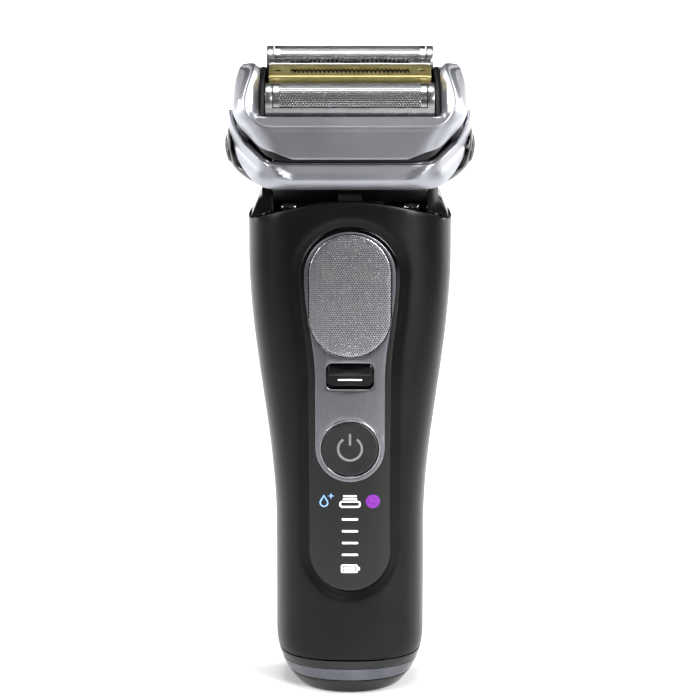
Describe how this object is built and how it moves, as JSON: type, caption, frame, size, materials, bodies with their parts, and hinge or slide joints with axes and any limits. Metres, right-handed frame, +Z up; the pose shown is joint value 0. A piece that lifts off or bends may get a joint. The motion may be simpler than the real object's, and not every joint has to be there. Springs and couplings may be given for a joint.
{
  "type": "electric foil shaver",
  "caption": "Cordless foil shaver standing upright: waisted black handle with a front panel, long-hair trimmer on the back and a swivelling silver head with a lift-off foil cassette.",
  "frame": {"origin": "centre of the flat foot, on the surface the shaver stands on", "axes": "+Z up the handle from the foot, -Y the front with the buttons, +X the right-hand side seen from the front"},
  "size_m": [0.0632, 0.0404, 0.1693],
  "materials": {
    "housing_black": "satin moulded plastic",
    "grip_rubber": "matt elastomer",
    "contact_steel": "polished nickel-plated",
    "gloss_black": "high-gloss plastic",
    "plate_silver": "brushed, shaded from dark to bright",
    "pad_steel": "perforated satin sheet",
    "neck_black": "semi-gloss plastic",
    "screw_steel": "plain machined",
    "gunmetal": "metallised, glossy",
    "inner_plastic": "matt plastic",
    "board_green": "solder mask",
    "light_guide_white": "translucent",
    "battery_wrap": "shrink sleeve",
    "spring_steel": "plain",
    "button_black": "satin",
    "head_silver": "metallised satin",
    "copper": "enamelled wire",
    "release_black": "ribbed satin",
    "holder_silver": "metallised",
    "foil_steel": "electroformed nickel and thin stainless sheet",
    "gold_coat": "titanium nitride coated",
    "blade_steel": "ground stainless"
  },
  "bodies": {
    "handle": {"front_housing": "housing_black", "rear_housing": "housing_black", "rear_grip": "grip_rubber", "charge_contact_left": "contact_steel", "charge_contact_right": "contact_steel", "panel_lens": "gloss_black", "faceplate": "plate_silver", "thumb_pad": "pad_steel", "head_yoke": "neck_black", "yoke_screw_left": "screw_steel", "yoke_screw_right": "screw_steel", "base_cap": "gloss_black", "base_trim_ring": "gunmetal", "base_collar": "gloss_black", "inlet_socket": "inner_plastic", "inlet_pin_left": "screw_steel", "inlet_pin_right": "screw_steel", "circuit_board": "board_green", "light_guide": "light_guide_white", "tact_switch": "inner_plastic", "battery_cell": "battery_wrap", "battery_tab_top": "spring_steel", "battery_tab_bottom": "spring_steel", "inner_chassis": "inner_plastic", "pivot_pin_left": "screw_steel", "pivot_pin_right": "screw_steel"},
    "power_button": {"power_button": "button_black"},
    "head_lock": {"lock_slider": "gloss_black", "lock_pawl": "spring_steel"},
    "long_hair_trimmer": {"trimmer_slide": "housing_black", "trimmer_comb": "foil_steel"},
    "trimmer_cutter": {"trimmer_blade": "foil_steel"},
    "head": {"head_frame": "head_silver", "side_cover_left": "gloss_black", "side_cover_right": "gloss_black", "head_chassis": "neck_black", "motor_stator": "spring_steel", "motor_coil": "copper", "drive_seal": "grip_rubber"},
    "release_left": {"release_button_left": "release_black"},
    "release_right": {"release_button_right": "release_black"},
    "front_drive": {"drive_bridge_front": "spring_steel"},
    "rear_drive": {"drive_bridge_rear": "spring_steel"},
    "cassette": {"cassette_frame": "head_silver", "cassette_carrier": "inner_plastic", "front_spring_left": "spring_steel", "front_spring_right": "spring_steel", "rear_spring_left": "spring_steel", "rear_spring_right": "spring_steel"},
    "front_foil_unit": {"front_foil_holder": "holder_silver", "front_foil": "foil_steel"},
    "rear_foil_unit": {"rear_foil_holder": "holder_silver", "rear_foil": "foil_steel"},
    "middle_unit": {"middle_holder": "inner_plastic", "lift_trimmer_comb": "gold_coat", "cut_trimmer_comb": "foil_steel"},
    "front_cutter": {"front_cutter": "blade_steel"},
    "rear_cutter": {"rear_cutter": "blade_steel"},
    "lift_cutter": {"lift_trimmer_blade": "blade_steel"},
    "cut_cutter": {"cut_trimmer_blade": "blade_steel"}
  },
  "joints": [
    {"name": "head_swivel", "type": "hinge", "parent": "handle", "child": "head", "pos_m": [0, -0.0027, 0.145], "axis": [1, 0, 0], "range_deg": [-20, 13], "stiffness_Nm_per_rad": 0.5},
    {"name": "power_press", "type": "slide", "parent": "handle", "child": "power_button", "axis": [0, 1, 0], "range_m": [0, 0.0006], "stiffness_N_per_m": 1500},
    {"name": "head_lock_slide", "type": "slide", "parent": "handle", "child": "head_lock", "axis": [0, 0, -1], "range_m": [0, 0.003]},
    {"name": "long_hair_trimmer_slide", "type": "slide", "parent": "handle", "child": "long_hair_trimmer", "axis": [0, 0, 1], "range_m": [0, 0.014]},
    {"name": "trimmer_cutter_stroke", "type": "slide", "parent": "long_hair_trimmer", "child": "trimmer_cutter", "axis": [1, 0, 0], "range_m": [-0.0008, 0.0008]},
    {"name": "release_left_press", "type": "slide", "parent": "head", "child": "release_left", "axis": [1, 0, 0], "range_m": [0, 0.001], "stiffness_N_per_m": 600},
    {"name": "release_right_press", "type": "slide", "parent": "head", "child": "release_right", "axis": [-1, 0, 0], "range_m": [0, 0.001], "stiffness_N_per_m": 600},
    {"name": "front_drive_stroke", "type": "slide", "parent": "head", "child": "front_drive", "axis": [1, 0, 0], "range_m": [-0.0012, 0.0012], "stiffness_N_per_m": 400},
    {"name": "rear_drive_stroke", "type": "slide", "parent": "head", "child": "rear_drive", "axis": [1, 0, 0], "range_m": [-0.0012, 0.0012], "stiffness_N_per_m": 400},
    {"name": "cassette_lift_off", "type": "slide", "parent": "head", "child": "cassette", "axis": [0, -0.3746, 0.9272], "range_m": [0, 0.03]},
    {"name": "front_foil_float", "type": "slide", "parent": "cassette", "child": "front_foil_unit", "axis": [0, 0.3746, -0.9272], "range_m": [0, 0.0015], "stiffness_N_per_m": 600, "deforming": ["front_spring_left", "front_spring_right"]},
    {"name": "rear_foil_float", "type": "slide", "parent": "cassette", "child": "rear_foil_unit", "axis": [0, 0.3746, -0.9272], "range_m": [0, 0.0015], "stiffness_N_per_m": 600, "deforming": ["rear_spring_left", "rear_spring_right"]},
    {"name": "middle_float", "type": "slide", "parent": "cassette", "child": "middle_unit", "axis": [0, 0.3746, -0.9272], "range_m": [0, 0.0015], "stiffness_N_per_m": 600},
    {"name": "front_cutter_stroke", "type": "slide", "parent": "front_foil_unit", "child": "front_cutter", "axis": [1, 0, 0], "range_m": [-0.0012, 0.0012]},
    {"name": "rear_cutter_stroke", "type": "slide", "parent": "rear_foil_unit", "child": "rear_cutter", "axis": [1, 0, 0], "range_m": [-0.0012, 0.0012]},
    {"name": "lift_cutter_stroke", "type": "slide", "parent": "middle_unit", "child": "lift_cutter", "axis": [1, 0, 0], "range_m": [-0.0012, 0.0012]},
    {"name": "cut_cutter_stroke", "type": "slide", "parent": "middle_unit", "child": "cut_cutter", "axis": [1, 0, 0], "range_m": [-0.0012, 0.0012]}
  ],
  "couplings": [
    {"joint": "rear_drive_stroke", "follows": "front_drive_stroke", "ratio": -1},
    {"joint": "front_cutter_stroke", "follows": "front_drive_stroke", "ratio": 1},
    {"joint": "rear_cutter_stroke", "follows": "front_drive_stroke", "ratio": -1},
    {"joint": "lift_cutter_stroke", "follows": "front_drive_stroke", "ratio": -1},
    {"joint": "cut_cutter_stroke", "follows": "front_drive_stroke", "ratio": 1}
  ]
}
